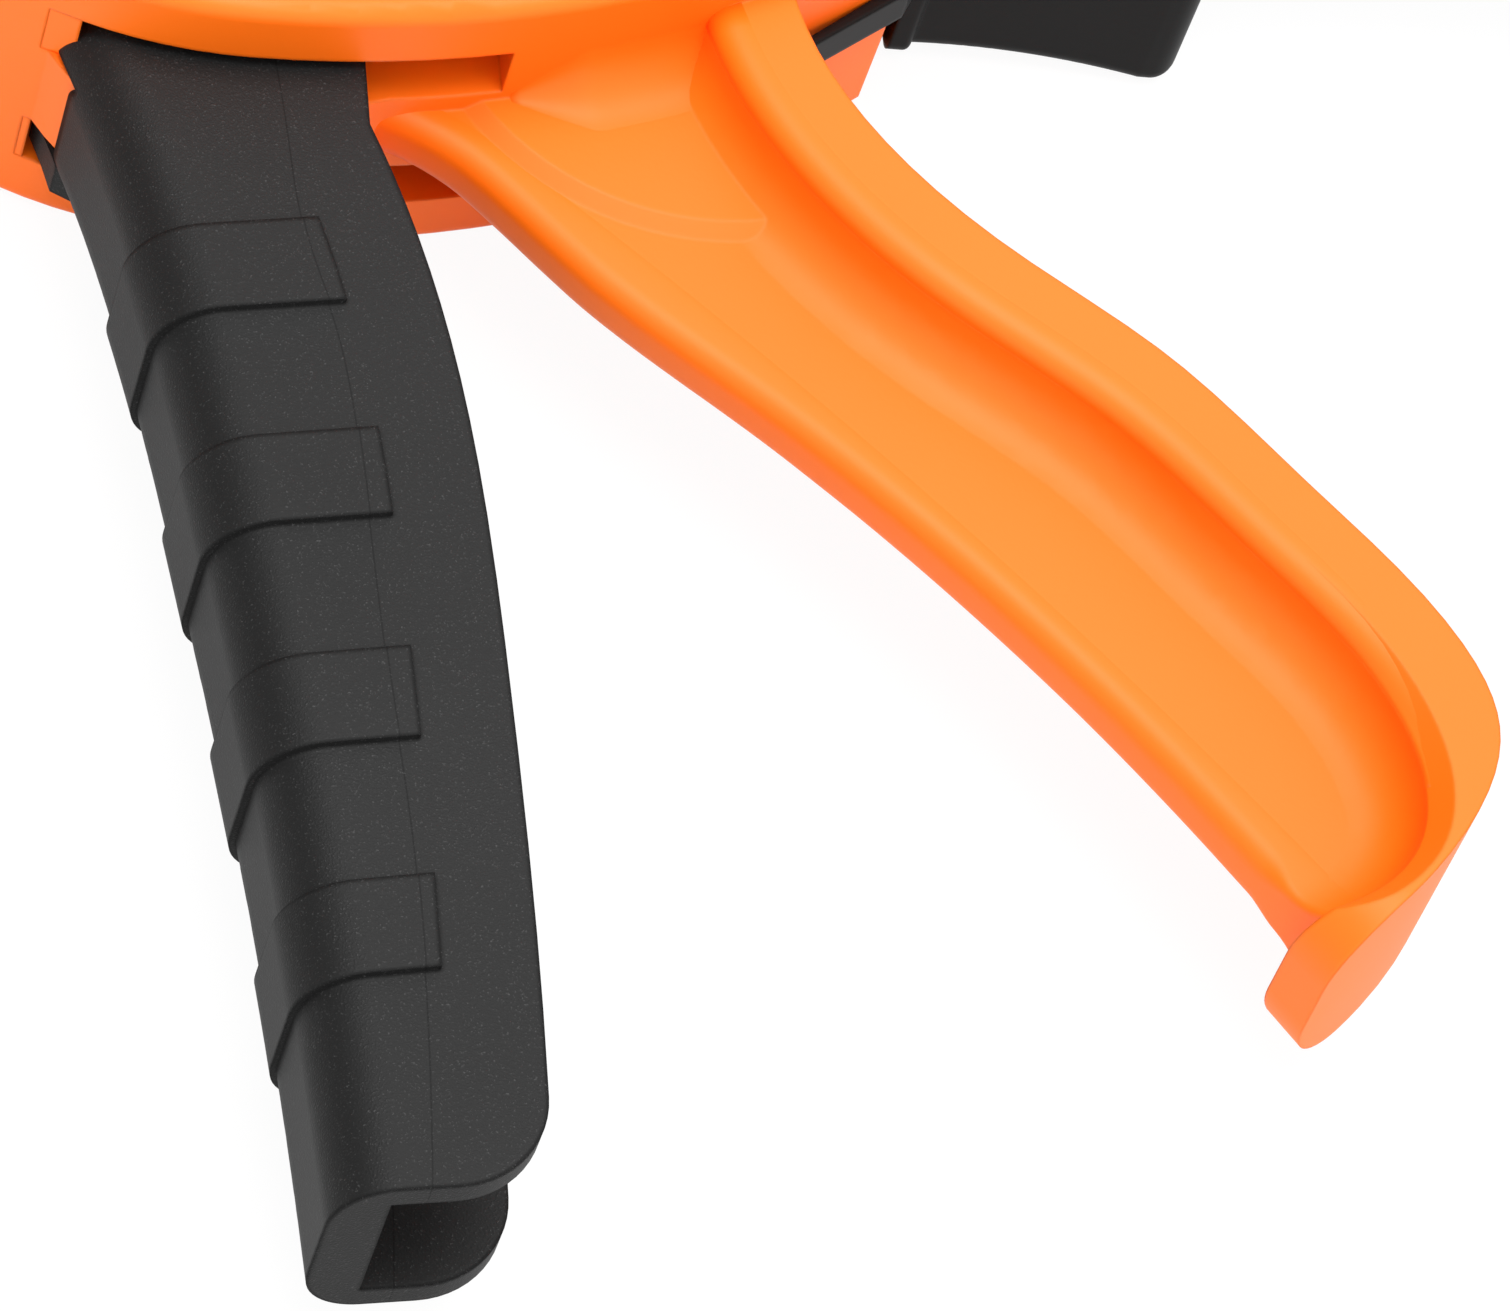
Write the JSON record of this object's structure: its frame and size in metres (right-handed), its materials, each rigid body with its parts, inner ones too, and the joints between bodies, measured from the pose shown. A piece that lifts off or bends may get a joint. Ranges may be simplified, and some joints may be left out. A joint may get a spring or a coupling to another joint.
{
  "type": "quick release bar clamp",
  "caption": "One-handed bar clamp with a squeeze lever that drives the moving jaw, a release button, soft jaw pads and a pinned fixed jaw.",
  "frame": {"origin": "centre of the moving jaw pad's gripping face", "axes": "+X along the bar from the moving jaw to the fixed jaw, +Y from the handles to the jaw tips, +Z across the clamp; it lies on its side with -Z down"},
  "size_m": [0.5145, 0.2311, 0.034],
  "materials": {
    "orange_moulding": "satin",
    "black_moulding": "grained",
    "pad_rubber": "smooth",
    "bar_steel": "brushed",
    "plate_steel": "stamped",
    "spring_steel": "drawn wire",
    "pin_steel": "plain"
  },
  "bodies": {
    "housing": {"housing": "orange_moulding", "rear_cap": "orange_moulding", "rear_cap_pins": "pin_steel", "front_bar_guide": "black_moulding", "lever_pivot_pin": "pin_steel", "pivot_clips": "pin_steel", "drive_spring": "spring_steel", "brake_anchor_pin": "pin_steel", "brake_spring": "spring_steel", "moving_jaw_pad": "pad_rubber"},
    "lever": {"squeeze_lever": "black_moulding"},
    "drive_plates": {"drive_plate_front": "plate_steel", "drive_plate_rear": "plate_steel"},
    "brake": {"brake_plate": "plate_steel", "release_button": "black_moulding"},
    "bar": {"bar": "bar_steel", "bar_end_cap": "orange_moulding", "end_cap_pin": "pin_steel", "fixed_jaw": "orange_moulding", "fixed_jaw_pad": "pad_rubber", "lock_spring": "spring_steel"},
    "lock": {"lock_button": "plate_steel", "lock_clip": "pin_steel"}
  },
  "joints": [
    {"name": "lever_squeeze", "type": "hinge", "parent": "housing", "child": "lever", "pos_m": [-0.092, -0.057, 0], "axis": [0, 0, 1], "range_deg": [0, 32], "stiffness_Nm_per_rad": 1.2, "springref_deg": -8.59},
    {"name": "plates_slide", "type": "slide", "parent": "housing", "child": "drive_plates", "axis": [1, 0, 0], "range_m": [-0.0052, 0], "deforming": ["drive_spring"]},
    {"name": "brake_release", "type": "hinge", "parent": "housing", "child": "brake", "pos_m": [-0.074, -0.046, 0], "axis": [0, 0, 1], "range_deg": [0, 8], "stiffness_Nm_per_rad": 2, "springref_deg": -5.73, "deforming": ["brake_spring"]},
    {"name": "bar_slide", "type": "slide", "parent": "housing", "child": "bar", "axis": [1, 0, 0], "range_m": [-0.1497, 0.15]},
    {"name": "lock_press", "type": "slide", "parent": "bar", "child": "lock", "axis": [0, 0, -1], "range_m": [0, 0.003], "stiffness_N_per_m": 900, "springref_m": -0.001, "deforming": ["lock_spring"]}
  ],
  "couplings": [
    {"joint": "plates_slide", "follows": "lever_squeeze", "m_per_rad": -0.009}
  ]
}
